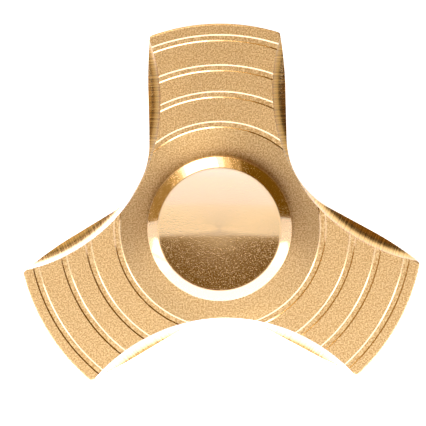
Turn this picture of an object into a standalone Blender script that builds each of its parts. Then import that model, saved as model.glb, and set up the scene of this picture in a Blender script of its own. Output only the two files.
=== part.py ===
"""Three-armed fidget spinner: a grooved aluminium rotor on a capped 608 ball bearing.

Everything is in millimetres up to the last step of each function, where MM turns it into metres. The spin axis is Z,
Z = 0 is the middle of the bearing, and the first arm points along +Y. A turned piece is a closed outline of (radius,
height) points that runs counter-clockwise, spun once round the axis.
"""

import math

import bmesh
import bpy
from mathutils import Matrix, Vector

MM = 0.001

# Rotor
ARMS = 3
TIP_RADIUS = 34.0
ARM_HALF_WIDTH = 11.55
NECK_RADIUS = 15.4  # closest that the outline comes to the axis, midway between two arms
SIDE_STRAIGHT_END = 23.0  # along the arm; from here the side bows in towards the tip
SIDE_BOW_RADIUS = 58.0
TIP_CORNER_RADIUS = 0.5
THICKNESS = 7.5
EDGE_CHAMFER = 0.3
FACE = THICKNESS / 2

# Scallop in each gap, on both faces: one round cove that thins the sides of both arms
SCALLOP_CENTRE_RADIUS = 44.25  # from the spin axis, midway between two arms
SCALLOP_PLAN_RADIUS = 29.0
SCALLOP_COVE_RADIUS = 5.45
SCALLOP_STEEP_DEG = 78.5  # slope where the cove meets the face
SCALLOP_SHALLOW_DEG = 34.5  # slope where the cove runs out at the side

# Turned grooves on both faces: outer radius of each
GROOVE_RADII = (32.23, 27.25, 22.84, 17.85)
GROOVE_WIDTH = 1.16
GROOVE_DEPTH = 0.12
GROOVE_WALL_RUN = 0.22

# 608 bearing: 8 mm bore, 22 mm outside, 7 mm wide, seven 5/32 inch balls
BEARING_BORE_R = 4.0
BEARING_OUTSIDE_R = 11.0
BEARING_HALF_WIDTH = 3.5
INNER_SHOULDER_R = 5.95
OUTER_SHOULDER_R = 9.1
BALLS = 7
BALL_RADIUS = 1.9845
PITCH_RADIUS = 7.5
RACE_GAP = 0.08
RING_CHAMFER = 0.3
SEAT_GAP = 0.05  # between pieces that touch

# Shield and its snap ring, in the mouth of the outer ring
SHIELD_SEAT_Z = 2.55
SHIELD_THICKNESS = 0.25
SHIELD_STEP = 0.35
SHIELD_RIM_R = 9.75
SHIELD_BORE_R = 6.3
CLIP_GROOVE_R = 10.0
CLIP_GROOVE_Z = (2.95, 3.27)
CLIP_WIRE_R = 0.13
CLIP_OPENING_DEG = 24.0

# Cage: two pressed steel ribbons
CAGE_INNER_R = 6.75
CAGE_OUTER_R = 8.25
CAGE_SHEET = 0.3
CAGE_HALF_GAP = 0.15
POCKET_RADIUS = 2.1

# Finger caps
CAP_TOP_Z = 7.0
CAP_UNDER_Z = 4.1
CAP_RADIUS = 12.0  # where the chamfer meets the side
CAP_FOOT_RADIUS = 12.3
CAP_CHAMFER_DROP = 0.78
DISH_RADIUS = 10.1
DISH_DEPTH = 0.6
RIM_WIDTH = 0.2
BOSS_RADIUS = 5.5
SPIGOT_RADIUS = 3.93
SPIGOT_END_Z = 0.15
TAPPED_RADIUS = 2.56
TAPPED_END_Z = 5.25

# Shim between cap and inner ring, and the M5 stud that pulls the caps together
SHIM_THICKNESS = 0.4
SHIM_RADIUS = 5.6
STUD_RADIUS = 2.48
STUD_HALF_LENGTH = 5.0
HEX_ACROSS_FLATS = 2.5
HEX_DEPTH = 2.0

# Facets round each turned piece, and round the wide circles of the rotor's cutters
FACETS = 40
CUTTER_FACETS = 72

GOLD = (0.83, 0.55, 0.26)
STEEL = (0.62, 0.62, 0.63)


def clear_scene():
    for obj in list(bpy.data.objects):
        bpy.data.objects.remove(obj)


def material(name, colour, roughness, metallic=1.0):
    made = bpy.data.materials.new(name)
    made.use_nodes = True
    shader = made.node_tree.nodes["Principled BSDF"]
    shader.inputs["Base Color"].default_value = (*colour, 1.0)
    shader.inputs["Roughness"].default_value = roughness
    shader.inputs["Metallic"].default_value = metallic
    made.diffuse_color = (*colour, 1.0)
    return made


def add_object(name, bm, finish=None):
    """The bmesh, drawn in millimetres, as a named object in metres, round pieces shaded smooth."""
    bmesh.ops.scale(bm, vec=(MM, MM, MM), verts=bm.verts)
    mesh = bpy.data.meshes.new(name)
    bm.to_mesh(mesh)
    bm.free()
    mesh.shade_smooth()
    mesh.set_sharp_from_angle(angle=math.radians(30))
    if finish:
        mesh.materials.append(finish)
    obj = bpy.data.objects.new(name, mesh)
    bpy.context.scene.collection.objects.link(obj)
    return obj


def arc(centre, radius, start_deg, end_deg, steps):
    """Points of an arc in a plane, both ends included."""
    angles = (math.radians(start_deg + (end_deg - start_deg) * i / steps) for i in range(steps + 1))
    return [(centre[0] + radius * math.cos(a), centre[1] + radius * math.sin(a)) for a in angles]


def turned(outline, facets, centre=(0.0, 0.0)):
    """A closed outline of (radius, height) spun round the vertical axis through centre."""
    bm = bmesh.new()
    verts = [bm.verts.new((r, 0.0, z)) for r, z in outline]
    edges = [bm.edges.new((a, b)) for a, b in zip(verts, verts[1:] + verts[:1])]
    # an outline that touches the axis has its edge along the axis left out, so that no inner wall is made
    on_axis = [e for e in edges if all(v.co.x < 1e-6 for v in e.verts)]
    for edge in on_axis:
        bm.edges.remove(edge)
    bmesh.ops.spin(
        bm, geom=bm.verts[:] + bm.edges[:], cent=(0, 0, 0), axis=(0, 0, 1),
        angle=math.tau, steps=facets, use_merge=True, use_duplicate=False,
    )
    bmesh.ops.remove_doubles(bm, verts=bm.verts, dist=1e-4)
    bmesh.ops.recalc_face_normals(bm, faces=bm.faces)
    bmesh.ops.translate(bm, verts=bm.verts, vec=(centre[0], centre[1], 0.0))
    return bm


def mirrored_below(outline):
    """The outline turned over Z = 0, in the same sense of rotation."""
    return [(r, -z) for r, z in reversed(outline)]


def cut(target, cutter):
    """Takes the cutter out of the target, and removes the cutter."""
    modifier = target.modifiers.new("cut", "BOOLEAN")
    modifier.operation = "DIFFERENCE"
    modifier.object = cutter
    bpy.context.view_layer.update()
    graph = bpy.context.evaluated_depsgraph_get()
    mesh = bpy.data.meshes.new_from_object(target.evaluated_get(graph))
    target.modifiers.clear()
    target.data = mesh
    bpy.data.objects.remove(cutter)


# Rotor


def half_arm_outline():
    """From the middle of a gap to the middle of the next arm's tip, as (along the arm, across it)."""
    corner = ARM_HALF_WIDTH / math.sin(math.pi / ARMS)  # where the sides of two arms would meet
    widening = 1 / math.sin(math.pi / ARMS) - 1
    fillet = (NECK_RADIUS - corner) / widening
    centre_distance = NECK_RADIUS + fillet
    half_pitch = math.pi / ARMS
    centre = (centre_distance * math.cos(half_pitch), centre_distance * math.sin(half_pitch))
    points = arc(centre, fillet, 180 + math.degrees(half_pitch), 270, 8)
    bow_centre = (SIDE_STRAIGHT_END, ARM_HALF_WIDTH - SIDE_BOW_RADIUS)
    # corner round: inside both the tip circle and the bowed side
    inner_tip = TIP_RADIUS - TIP_CORNER_RADIUS
    inner_bow = SIDE_BOW_RADIUS - TIP_CORNER_RADIUS
    along = inner_tip
    for _ in range(40):
        across = bow_centre[1] + math.sqrt(inner_bow**2 - (along - bow_centre[0]) ** 2)
        along = math.sqrt(inner_tip**2 - across**2)
    side_end = math.degrees(math.atan2(across - bow_centre[1], along - bow_centre[0]))
    tip_start = math.degrees(math.atan2(across, along))
    points += arc(bow_centre, SIDE_BOW_RADIUS, 90, side_end, 3)
    points += arc((along, across), TIP_CORNER_RADIUS, side_end, tip_start, 2)[1:]
    points += arc((0, 0), TIP_RADIUS, tip_start, 0, 5)[1:]
    return points


def rotor_outline():
    """The whole outline, counter-clockwise, from the middle of the gap before the first arm."""
    half = half_arm_outline()
    arm = [(u, -v) for u, v in half] + [(u, v) for u, v in reversed(half[:-1])]
    points = []
    for k in range(ARMS):
        turn = Matrix.Rotation(math.pi / 2 + k * math.tau / ARMS, 2)
        points += [tuple(turn @ Vector(p)) for p in arm[:-1]]
    return points


def rotor_plate():
    bm = bmesh.new()
    face = bm.faces.new([bm.verts.new((x, y, -FACE)) for x, y in rotor_outline()])
    raised = bmesh.ops.extrude_face_region(bm, geom=[face])["geom"]
    bmesh.ops.translate(bm, verts=[g for g in raised if isinstance(g, bmesh.types.BMVert)], vec=(0, 0, THICKNESS))
    bmesh.ops.recalc_face_normals(bm, faces=bm.faces)
    rims = [e for e in bm.edges if abs(e.verts[0].co.z - e.verts[1].co.z) < 1e-6]
    bmesh.ops.bevel(
        bm, geom=rims, offset=EDGE_CHAMFER, offset_type="OFFSET", segments=1, profile=0.5,
        affect="EDGES", material=-1, clamp_overlap=True,
    )
    return bm


def scallop_outline():
    """Outline of the scallop's cutter, its cove on the outside: radius from the cutter's own axis, and height."""
    radius = SCALLOP_COVE_RADIUS
    steep = math.radians(SCALLOP_STEEP_DEG)
    cove_centre = (SCALLOP_PLAN_RADIUS - radius * math.sin(steep), FACE + radius * math.cos(steep))
    cove = arc(cove_centre, radius, SCALLOP_SHALLOW_DEG - 90, SCALLOP_STEEP_DEG - 90, 5)
    overshoot = 2.0
    lift = (SCALLOP_PLAN_RADIUS + overshoot / math.tan(steep), FACE + overshoot)
    core = cove[0][0] - 4.0
    return [(core, cove[0][1]), *cove, lift, (core, lift[1])]


def groove_outlines():
    overshoot = 0.5
    for radius in GROOVE_RADII:
        inner = radius - GROOVE_WIDTH
        slope = overshoot * GROOVE_WALL_RUN / GROOVE_DEPTH
        yield [
            (inner + GROOVE_WALL_RUN, FACE - GROOVE_DEPTH),
            (radius - GROOVE_WALL_RUN, FACE - GROOVE_DEPTH),
            (radius + slope, FACE + overshoot),
            (inner - slope, FACE + overshoot),
        ]


def bore_outline():
    seat = BEARING_OUTSIDE_R + SEAT_GAP
    overshoot = 1.0
    mouth = [(seat, BEARING_HALF_WIDTH), (seat + FACE - BEARING_HALF_WIDTH + overshoot, FACE + overshoot)]
    return [(0.0, -mouth[1][1]), *mirrored_below(mouth), *mouth, (0.0, mouth[1][1])]


def make_rotor(finish):
    body = add_object("spinner_body", rotor_plate(), finish)
    for k in range(ARMS):
        gap = math.pi / 2 + (k + 0.5) * math.tau / ARMS
        centre = (SCALLOP_CENTRE_RADIUS * math.cos(gap), SCALLOP_CENTRE_RADIUS * math.sin(gap))
        for outline in (scallop_outline(), mirrored_below(scallop_outline())):
            cut(body, add_object("scallop", turned(outline, CUTTER_FACETS, centre)))
    for outline in groove_outlines():
        for face_outline in (outline, mirrored_below(outline)):
            cut(body, add_object("groove", turned(face_outline, CUTTER_FACETS)))
    cut(body, add_object("bore", turned(bore_outline(), FACETS)))
    return body


# Bearing


def race(start_deg, end_deg, steps):
    return arc((PITCH_RADIUS, 0.0), BALL_RADIUS + RACE_GAP, start_deg, end_deg, steps)


def make_outer_ring(finish):
    edge = math.degrees(math.acos((OUTER_SHOULDER_R - PITCH_RADIUS) / (BALL_RADIUS + RACE_GAP)))
    half = BEARING_HALF_WIDTH
    low, high = CLIP_GROOVE_Z
    upper_mouth = [
        (OUTER_SHOULDER_R, SHIELD_SEAT_Z), (SHIELD_RIM_R, SHIELD_SEAT_Z), (SHIELD_RIM_R, low), (CLIP_GROOVE_R, low),
        (CLIP_GROOVE_R, high), (SHIELD_RIM_R, high), (SHIELD_RIM_R, half),
    ]
    outside = BEARING_OUTSIDE_R
    outline = [
        (outside - RING_CHAMFER, -half), (outside, -half + RING_CHAMFER),
        (outside, half - RING_CHAMFER), (outside - RING_CHAMFER, half),
        *reversed(upper_mouth), *reversed(race(-edge, edge, 6)), *[(r, -z) for r, z in upper_mouth],
    ]
    return add_object("bearing_outer_ring", turned(outline, FACETS), finish)


def make_inner_ring(finish):
    edge = math.degrees(math.acos((PITCH_RADIUS - INNER_SHOULDER_R) / (BALL_RADIUS + RACE_GAP)))
    half = BEARING_HALF_WIDTH
    bore = BEARING_BORE_R
    outline = [
        (bore + RING_CHAMFER, -half), (INNER_SHOULDER_R, -half),
        *reversed(race(180 - edge, 180 + edge, 6)),
        (INNER_SHOULDER_R, half), (bore + RING_CHAMFER, half), (bore, half - RING_CHAMFER),
        (bore, -half + RING_CHAMFER),
    ]
    return add_object("bearing_inner_ring", turned(outline, FACETS), finish)


def make_balls(finish):
    for k in range(BALLS):
        bm = bmesh.new()
        bmesh.ops.create_icosphere(bm, subdivisions=2, radius=BALL_RADIUS * MM)
        mesh = bpy.data.meshes.new(f"bearing_ball_{k + 1}")
        bm.to_mesh(mesh)
        bm.free()
        mesh.shade_smooth()
        mesh.materials.append(finish)
        ball = bpy.data.objects.new(f"bearing_ball_{k + 1}", mesh)
        angle = math.pi / 2 + k * math.tau / BALLS
        ball.location = (PITCH_RADIUS * MM * math.cos(angle), PITCH_RADIUS * MM * math.sin(angle), 0.0)
        bpy.context.scene.collection.objects.link(ball)


def cage_wave():
    """One pocket of the ribbon: (angle from the ball's centre, lower height, upper height)."""
    low = CAGE_HALF_GAP
    outer = POCKET_RADIUS + CAGE_SHEET
    wave = []
    for degrees in range(0, 181, 20):
        a = math.radians(180 - degrees)
        inside = (POCKET_RADIUS * math.cos(a), max(low, POCKET_RADIUS * math.sin(a)))
        outside = (outer * math.cos(a), max(low + CAGE_SHEET, outer * math.sin(a)))
        wave.append((inside, outside))
    return wave


def make_cage_half(name, finish, flip):
    """A ribbon that arches over each ball and lies flat between them."""
    bm = bmesh.new()
    sections = []
    for k in range(BALLS):
        centre = math.pi / 2 + k * math.tau / BALLS
        for inside, outside in cage_wave():
            corners = []
            for radius in (CAGE_INNER_R, CAGE_OUTER_R):
                for s, z in (inside, outside):
                    angle = centre + s / PITCH_RADIUS
                    height = -z if flip else z
                    corners.append(bm.verts.new((radius * math.cos(angle), radius * math.sin(angle), height)))
            inner_low, inner_high, outer_low, outer_high = corners
            sections.append((inner_low, outer_low, outer_high, inner_high))
    for here, after in zip(sections, sections[1:] + sections[:1]):
        for i in range(4):
            j = (i + 1) % 4
            bm.faces.new((here[i], here[j], after[j], after[i]))
    bmesh.ops.recalc_face_normals(bm, faces=bm.faces)
    return add_object(name, bm, finish)


def make_shield(name, finish, flip):
    """Pressed disc: its rim is clamped in the outer ring, and its middle stands one step higher."""
    low = SHIELD_SEAT_Z + SEAT_GAP
    raised = low + SHIELD_STEP
    rim = SHIELD_RIM_R - SEAT_GAP
    sheet = SHIELD_THICKNESS
    outline = [
        (SHIELD_BORE_R, raised), (OUTER_SHOULDER_R - SHIELD_STEP, raised), (OUTER_SHOULDER_R, low), (rim, low),
        (rim, low + sheet), (OUTER_SHOULDER_R, low + sheet),
        (OUTER_SHOULDER_R - SHIELD_STEP, raised + sheet), (SHIELD_BORE_R, raised + sheet),
    ]
    outline = mirrored_below(outline) if flip else outline
    return add_object(name, turned(outline, FACETS), finish)


def make_clip(name, finish, flip):
    """Snap ring: an open ring of round wire in the outer ring's groove."""
    height = sum(CLIP_GROOVE_Z) / 2
    centre_r = CLIP_GROOVE_R - CLIP_WIRE_R - 0.06
    steps, sides = 28, 5
    bm = bmesh.new()
    start = math.radians(90 + CLIP_OPENING_DEG / 2)
    sweep = math.radians(360 - CLIP_OPENING_DEG)
    wire = bmesh.ops.create_circle(bm, cap_ends=True, segments=sides, radius=CLIP_WIRE_R)["verts"]
    place = Matrix.Rotation(start, 4, "Z") @ Matrix.Translation((centre_r, 0, -height if flip else height))
    bmesh.ops.transform(bm, matrix=place @ Matrix.Rotation(math.pi / 2, 4, "X"), verts=wire)
    cap = bm.faces[:]
    bmesh.ops.spin(
        bm, geom=cap, cent=(0, 0, 0), axis=(0, 0, 1), angle=sweep, steps=steps, use_duplicate=False,
    )
    bmesh.ops.recalc_face_normals(bm, faces=bm.faces)
    return add_object(name, bm, finish)


# Caps, shims and stud


def cap_outline():
    sphere = (DISH_RADIUS**2 + DISH_DEPTH**2) / (2 * DISH_DEPTH)
    rings = 4
    dish = []
    for k in range(rings + 1):
        radius = DISH_RADIUS * k / rings
        dish.append((radius, CAP_TOP_Z - DISH_DEPTH + sphere - math.sqrt(sphere**2 - radius**2)))
    boss_z = BEARING_HALF_WIDTH + 2 * SEAT_GAP + SHIM_THICKNESS
    edge_break = 0.15
    return [
        (0.0, TAPPED_END_Z), (TAPPED_RADIUS, TAPPED_END_Z),
        (TAPPED_RADIUS, SPIGOT_END_Z), (SPIGOT_RADIUS - edge_break, SPIGOT_END_Z),
        (SPIGOT_RADIUS, SPIGOT_END_Z + edge_break), (SPIGOT_RADIUS, boss_z), (BOSS_RADIUS, boss_z),
        (BOSS_RADIUS, CAP_UNDER_Z), (CAP_FOOT_RADIUS - edge_break, CAP_UNDER_Z),
        (CAP_FOOT_RADIUS, CAP_UNDER_Z + edge_break), (CAP_RADIUS, CAP_TOP_Z - CAP_CHAMFER_DROP),
        (DISH_RADIUS + RIM_WIDTH, CAP_TOP_Z), *reversed(dish),
    ]


def make_cap(name, finish, flip):
    outline = mirrored_below(cap_outline()) if flip else cap_outline()
    return add_object(name, turned(outline, FACETS), finish)


def make_shim(name, finish, flip):
    low = BEARING_HALF_WIDTH + SEAT_GAP
    high = low + SHIM_THICKNESS
    bore = BEARING_BORE_R + SEAT_GAP
    outline = [(bore, low), (SHIM_RADIUS, low), (SHIM_RADIUS, high), (bore, high)]
    outline = mirrored_below(outline) if flip else outline
    return add_object(name, turned(outline, FACETS), finish)


def make_stud(finish):
    """Headless screw with a hexagon socket in its upper end."""
    chamfer = 0.4
    high = STUD_HALF_LENGTH
    upper = [(STUD_RADIUS, high - chamfer), (STUD_RADIUS - chamfer, high), (0.0, high)]
    stud = add_object("axle_stud", turned([*mirrored_below(upper), *upper], 24), finish)
    socket = bmesh.new()
    hex_radius = HEX_ACROSS_FLATS / math.sqrt(3)
    bmesh.ops.create_cone(
        socket, cap_ends=True, segments=6, radius1=hex_radius, radius2=hex_radius, depth=2 * HEX_DEPTH,
    )
    bmesh.ops.translate(socket, verts=socket.verts, vec=(0, 0, high))
    cut(stud, add_object("socket", socket))


def main():
    clear_scene()
    gold = material("gold_anodised_aluminium", GOLD, 0.35)
    polished = material("gold_turned_aluminium", GOLD, 0.2)
    steel = material("bearing_steel", STEEL, 0.15)
    make_rotor(gold)
    make_outer_ring(steel)
    make_inner_ring(steel)
    make_balls(steel)
    for flip, end in ((False, "top"), (True, "bottom")):
        make_cage_half(f"cage_half_{end}", steel, flip)
        make_shield(f"bearing_shield_{end}", steel, flip)
        make_clip(f"shield_snap_ring_{end}", steel, flip)
        make_cap(f"finger_cap_{end}", polished, flip)
        make_shim(f"cap_shim_{end}", steel, flip)
    make_stud(steel)


main()
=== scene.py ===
"""Fidget spinner in gold anodised aluminium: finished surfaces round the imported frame, and its studio.

In the editor, the panel in the sidebar builds the pieces one group at a time. All sizes are in metres. The
spin axis is Z, Z = 0 is the middle of the bearing, and the first arm points along +Y.
"""

import math

import bmesh
import bpy
from bpy.props import FloatProperty, FloatVectorProperty, IntProperty, PointerProperty
from mathutils import Matrix, Vector


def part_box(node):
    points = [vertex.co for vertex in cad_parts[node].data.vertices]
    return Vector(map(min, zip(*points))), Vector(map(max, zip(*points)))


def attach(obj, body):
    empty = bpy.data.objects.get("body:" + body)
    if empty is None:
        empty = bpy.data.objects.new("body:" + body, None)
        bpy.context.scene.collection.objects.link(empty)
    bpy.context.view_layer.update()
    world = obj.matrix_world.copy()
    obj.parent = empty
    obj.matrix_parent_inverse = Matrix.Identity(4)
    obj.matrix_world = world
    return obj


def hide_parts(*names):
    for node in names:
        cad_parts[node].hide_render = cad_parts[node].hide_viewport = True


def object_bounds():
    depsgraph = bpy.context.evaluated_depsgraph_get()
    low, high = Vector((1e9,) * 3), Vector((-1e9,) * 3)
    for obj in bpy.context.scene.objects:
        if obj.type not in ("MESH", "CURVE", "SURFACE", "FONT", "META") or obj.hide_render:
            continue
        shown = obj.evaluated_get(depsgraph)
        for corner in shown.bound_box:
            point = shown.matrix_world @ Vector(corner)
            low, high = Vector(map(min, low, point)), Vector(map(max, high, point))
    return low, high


bl_info = {
    "name": "Fidget Spinner",
    "version": (1, 0, 0),
    "blender": (4, 5, 0),
    "location": "View3D > Sidebar > Spinner",
    "description": "Builds a three-armed bearing spinner in anodised aluminium and a small studio",
    "category": "Add Mesh",
}

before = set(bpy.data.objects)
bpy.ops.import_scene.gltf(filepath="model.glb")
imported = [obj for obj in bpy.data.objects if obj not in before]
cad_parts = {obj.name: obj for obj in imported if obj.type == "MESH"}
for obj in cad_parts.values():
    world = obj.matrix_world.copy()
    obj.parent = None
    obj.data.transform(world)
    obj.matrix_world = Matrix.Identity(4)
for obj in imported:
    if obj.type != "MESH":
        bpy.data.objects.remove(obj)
CAD_BOX = [list(corner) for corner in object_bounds()]

ARMS = 3
BALLS = 7
MERGE = 1e-6  # vertices nearer than this are one
SHARP = math.radians(20)  # edges that turn more than this stay crisp
SCALLOP_FACETS = 480
GROOVE_FACETS = 360
POCKET_STEPS = 40  # round the cage, for each ball
THREAD_STEPS = 48  # for each turn
SOFTBOX_DISTANCE = 0.8


def mm(value):
    return value * 0.001


def high(node):
    """Upper corner of a frame node's box: its outer radius is x, and its top is z."""
    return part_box(node)[1]


def low(node):
    """Lower corner of a frame node's box."""
    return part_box(node)[0]


# Sizes and colours


def length(name, text, default):
    return FloatProperty(name=name, description=text, default=default, unit="LENGTH", precision=5)


def angle(name, text, degrees):
    return FloatProperty(name=name, description=text, default=math.radians(degrees), subtype="ANGLE")


def factor(name, text, default, top=1.0):
    return FloatProperty(name=name, description=text, default=default, min=0.0, max=top)


def srgb(text):
    """An sRGB hex colour as linear red, green and blue."""
    channels = [int(text[i:i + 2], 16) / 255 for i in (0, 2, 4)]
    return tuple(c / 12.92 if c <= 0.04045 else ((c + 0.055) / 1.055) ** 2.4 for c in channels)


def colour(name, text, code):
    return FloatVectorProperty(
        name=name, description=text, default=srgb(code), size=3, subtype="COLOR", min=0.0, max=1.0,
    )


class RotorSizes(bpy.types.PropertyGroup):
    tip_radius: length("Tip radius", "From the spin axis to the end of an arm", high("spinner_body")[1])
    face: length("Face height", "From the mid-plane to the rotor's face", high("spinner_body")[2])
    arm_half_width: length("Arm half width", "Half the width of an arm along its straight side", mm(11.55))
    neck_radius: length("Neck radius", "From the spin axis to the outline, midway between two arms", mm(15.4))
    bow_start: length("Bow start", "Distance along the arm from which its side bows in", mm(23.0))
    bow_radius: length("Bow radius", "Radius of the side's bow", mm(58.0))
    corner_radius: length("Corner radius", "Radius of the tip's corners", mm(0.5))
    edge_chamfer: length("Edge chamfer", "Width of the chamfer round the outline", mm(0.3))
    scallop_centre: length("Scallop centre", "From the spin axis to the scallop's centre", mm(44.25))
    scallop_radius: length("Scallop radius", "Radius of the scallop's edge on the face", mm(29.0))
    cove_radius: length("Cove radius", "Radius of the scallop's hollow section", mm(5.45))
    cove_steep: angle("Cove slope at the face", "Slope of the cove where it meets the face", 78.5)
    cove_shallow: angle("Cove slope at the side", "Slope of the cove where it runs out at the side", 34.5)
    groove_radii: FloatVectorProperty(
        name="Groove radii", description="Outer radius of each turned groove", size=4, unit="LENGTH",
        precision=5, default=(mm(32.23), mm(27.25), mm(22.84), mm(17.85)),
    )
    groove_width: length("Groove width", "Width of a groove at the face", mm(1.16))
    groove_depth: length("Groove depth", "Depth of a groove", mm(0.12))
    groove_wall_run: length("Groove wall run", "Width of a groove's sloped wall", mm(0.22))


class CapSizes(bpy.types.PropertyGroup):
    top: length("Top height", "From the mid-plane to the rim of the dish", high("finger_cap_top")[2])
    foot_radius: length("Foot radius", "Radius of the cap at its foot", high("finger_cap_top")[0])
    under: length("Underside height", "From the mid-plane to the underside", mm(4.1))
    shoulder_radius: length("Shoulder radius", "Radius where the chamfer meets the side", mm(12.0))
    chamfer_drop: length("Chamfer drop", "Height of the chamfer", mm(0.78))
    dish_radius: length("Dish radius", "Radius of the thumb dish", mm(10.17))
    dish_depth: length("Dish depth", "Depth of the thumb dish", mm(0.6))
    rim_width: length("Rim width", "Width of the flat rim round the dish", mm(0.1))
    boss_radius: length("Boss radius", "Radius of the boss that presses on the shim", mm(5.5))
    spigot_radius: length("Spigot radius", "Radius of the spigot in the bearing's bore", mm(3.93))
    tapped_radius: length("Tapped radius", "Radius of the tapped hole", mm(2.56))
    tapped_end: length("Tapped depth", "Height at which the tapped hole ends", mm(5.25))


class BearingSizes(bpy.types.PropertyGroup):
    pitch_radius: length("Pitch radius", "Radius of the circle through the balls' centres", mm(7.5))
    ball_radius: length("Ball radius", "Radius of a ball", mm(1.9845))
    race_gap: length("Race gap", "Clearance between ball and race", mm(0.08))
    bore_radius: length("Bore radius", "Radius of the inner ring's bore", mm(4.0))
    inner_shoulder: length("Inner shoulder", "Radius of the inner ring's shoulders", mm(5.95))
    outer_shoulder: length("Outer shoulder", "Inner radius of the outer ring's shoulders", mm(9.1))
    ring_chamfer: length("Ring chamfer", "Chamfer on the rings' corners", mm(0.3))
    seat_gap: length("Seat gap", "Gap between pieces that seat on each other", mm(0.05))
    shield_seat: length("Shield seat", "Height of the step that the shield rests on", mm(2.55))
    shield_sheet: length("Shield sheet", "Thickness of the shield's sheet", mm(0.25))
    shield_step: length("Shield step", "Height of the shield's pressed step", mm(0.35))
    shield_rim: length("Shield rim", "Radius of the seat round the shield", mm(9.75))
    shield_hole: length("Shield hole", "Radius of the hole in the shield", mm(6.3))
    clip_groove: length("Snap ring groove", "Radius of the groove for the snap ring", mm(10.0))
    clip_wire: length("Snap ring wire", "Radius of the snap ring's wire", mm(0.13))
    clip_opening: angle("Snap ring opening", "Angle between the snap ring's ends", 24.0)
    cage_inner: length("Cage inner radius", "Inner radius of the ball cage", mm(6.75))
    cage_outer: length("Cage outer radius", "Outer radius of the ball cage", mm(8.25))
    cage_sheet: length("Cage sheet", "Thickness of the cage's sheet", mm(0.3))
    cage_gap: length("Cage gap", "Height of the flat stretches above the mid-plane", mm(0.15))
    pocket_radius: length("Pocket radius", "Inside radius of a ball's pocket", mm(2.1))


class StudSizes(bpy.types.PropertyGroup):
    crest_radius: length("Crest radius", "Radius over the thread", mm(2.48))
    thread_depth: length("Thread depth", "Depth of the thread", mm(0.42))
    pitch: length("Pitch", "Thread pitch", mm(0.8))
    hex_across: length("Socket width", "Width of the hexagon socket across its flats", mm(2.5))
    hex_depth: length("Socket depth", "Depth of the hexagon socket", mm(2.0))


class Finishes(bpy.types.PropertyGroup):
    satin_gold: colour("Satin gold", "Dyed oxide on the blasted rotor", "F3D49B")
    satin_gold_deep: colour("Deep satin gold", "Dyed oxide where it is thicker", "CB9E61")
    turned_gold: colour("Turned gold", "Dyed oxide on the turned caps", "F8D298")
    milled_gold: colour("Milled gold", "Dyed oxide in the milled scallops", "DCAA5E")
    ring_steel: colour("Bearing steel", "Ground chromium steel", "C9C9CB")
    ball_steel: colour("Ball steel", "Polished chromium steel", "D2D3D6")
    sheet_steel: colour("Sheet steel", "Pressed bright sheet", "BEBDB8")
    wire_steel: colour("Wire steel", "Drawn spring wire", "96969A")
    black_steel: colour("Black oxide", "Blackened alloy steel", "24242A")
    floor: colour("Floor", "Pale card under the spinner", "F6F5F2")


class StudioSettings(bpy.types.PropertyGroup):
    distance: length("Camera distance", "From the rotor's face to the camera", 0.3)
    frame_width: length("Frame width", "Width of the picture on the rotor's face", mm(71.25))
    tilt: angle("Tilt", "Angle between the view and the spin axis", 4.5)
    tilt_towards: angle("Tilt direction", "Direction from which the camera looks", 68.0)
    roll: angle("Roll", "Turn of the spinner in the picture", 1.5)
    aim: FloatVectorProperty(
        name="Aim", description="Point on the rotor's face at the middle of the picture", size=2,
        unit="LENGTH", precision=5, default=(mm(-1.08), mm(2.49)),
    )
    overhead: factor("Overhead strips", "Radiance of the three strips nearest to straight above", 1.0, 20)
    upper: factor("Upper softbox", "Radiance of the softbox in front of the strips", 2.4, 20)
    front: factor("Front softbox", "Radiance of the large low softbox in front", 2.1, 20)
    kicker: factor("Kicker", "Radiance of the small softbox behind", 2.6, 20)
    ambient: factor("Ambient", "Radiance of the room", 0.16, 5)
    steps: IntProperty(name="Facets", description="Facets round a turned piece", default=192, min=32, max=512)


# Modelling helpers


def arc(centre, radius, start, end, steps):
    """Points of an arc, both ends included, with angles in radians."""
    angles = (start + (end - start) * i / steps for i in range(steps + 1))
    return [(centre[0] + radius * math.cos(a), centre[1] + radius * math.sin(a)) for a in angles]


def eased(outline, radius, steps=3):
    """The closed outline with each corner rounded by an arc of about that radius."""
    rounded = []
    for i, corner in enumerate(outline):
        here = Vector(corner)
        before = Vector(outline[i - 1]) - here
        after = Vector(outline[(i + 1) % len(outline)]) - here
        turn = before.angle(after)
        if turn > math.pi - SHARP or here.x < MERGE:
            rounded.append(corner)
            continue
        reach = min(radius / math.tan(turn / 2), 0.45 * before.length, 0.45 * after.length)
        first = here + before.normalized() * reach
        last = here + after.normalized() * reach
        for k in range(steps + 1):
            t = k / steps
            rounded.append(tuple(first * (1 - t) ** 2 + here * 2 * t * (1 - t) + last * t**2))
    return rounded


def spin_all(bm, turn, steps, **options):
    """Spins everything drawn so far round the upright axis."""
    bmesh.ops.spin(
        bm, geom=bm.verts[:] + bm.edges[:], cent=(0, 0, 0), axis=(0, 0, 1), angle=turn, steps=steps,
        use_duplicate=False, **options,
    )


def turned(outline, facets, centre=(0.0, 0.0)):
    """A closed outline of (radius, height) spun once round the upright axis through centre."""
    bm = bmesh.new()
    verts = [bm.verts.new((r, 0.0, z)) for r, z in outline]
    for a, b in zip(verts, verts[1:] + verts[:1]):
        if a.co.x > MERGE or b.co.x > MERGE:
            bm.edges.new((a, b))
    spin_all(bm, math.tau, facets, use_merge=True)
    bmesh.ops.remove_doubles(bm, verts=bm.verts, dist=MERGE / 10)
    bmesh.ops.recalc_face_normals(bm, faces=bm.faces)
    bmesh.ops.translate(bm, verts=bm.verts, vec=(*centre, 0.0))
    return bm


def gathered(shapes):
    """Several closed shapes in one bmesh."""
    whole = bmesh.new()
    for shape in shapes:
        mesh = bpy.data.meshes.new("shape")
        shape.to_mesh(mesh)
        shape.free()
        whole.from_mesh(mesh)
        bpy.data.meshes.remove(mesh)
    return whole


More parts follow.
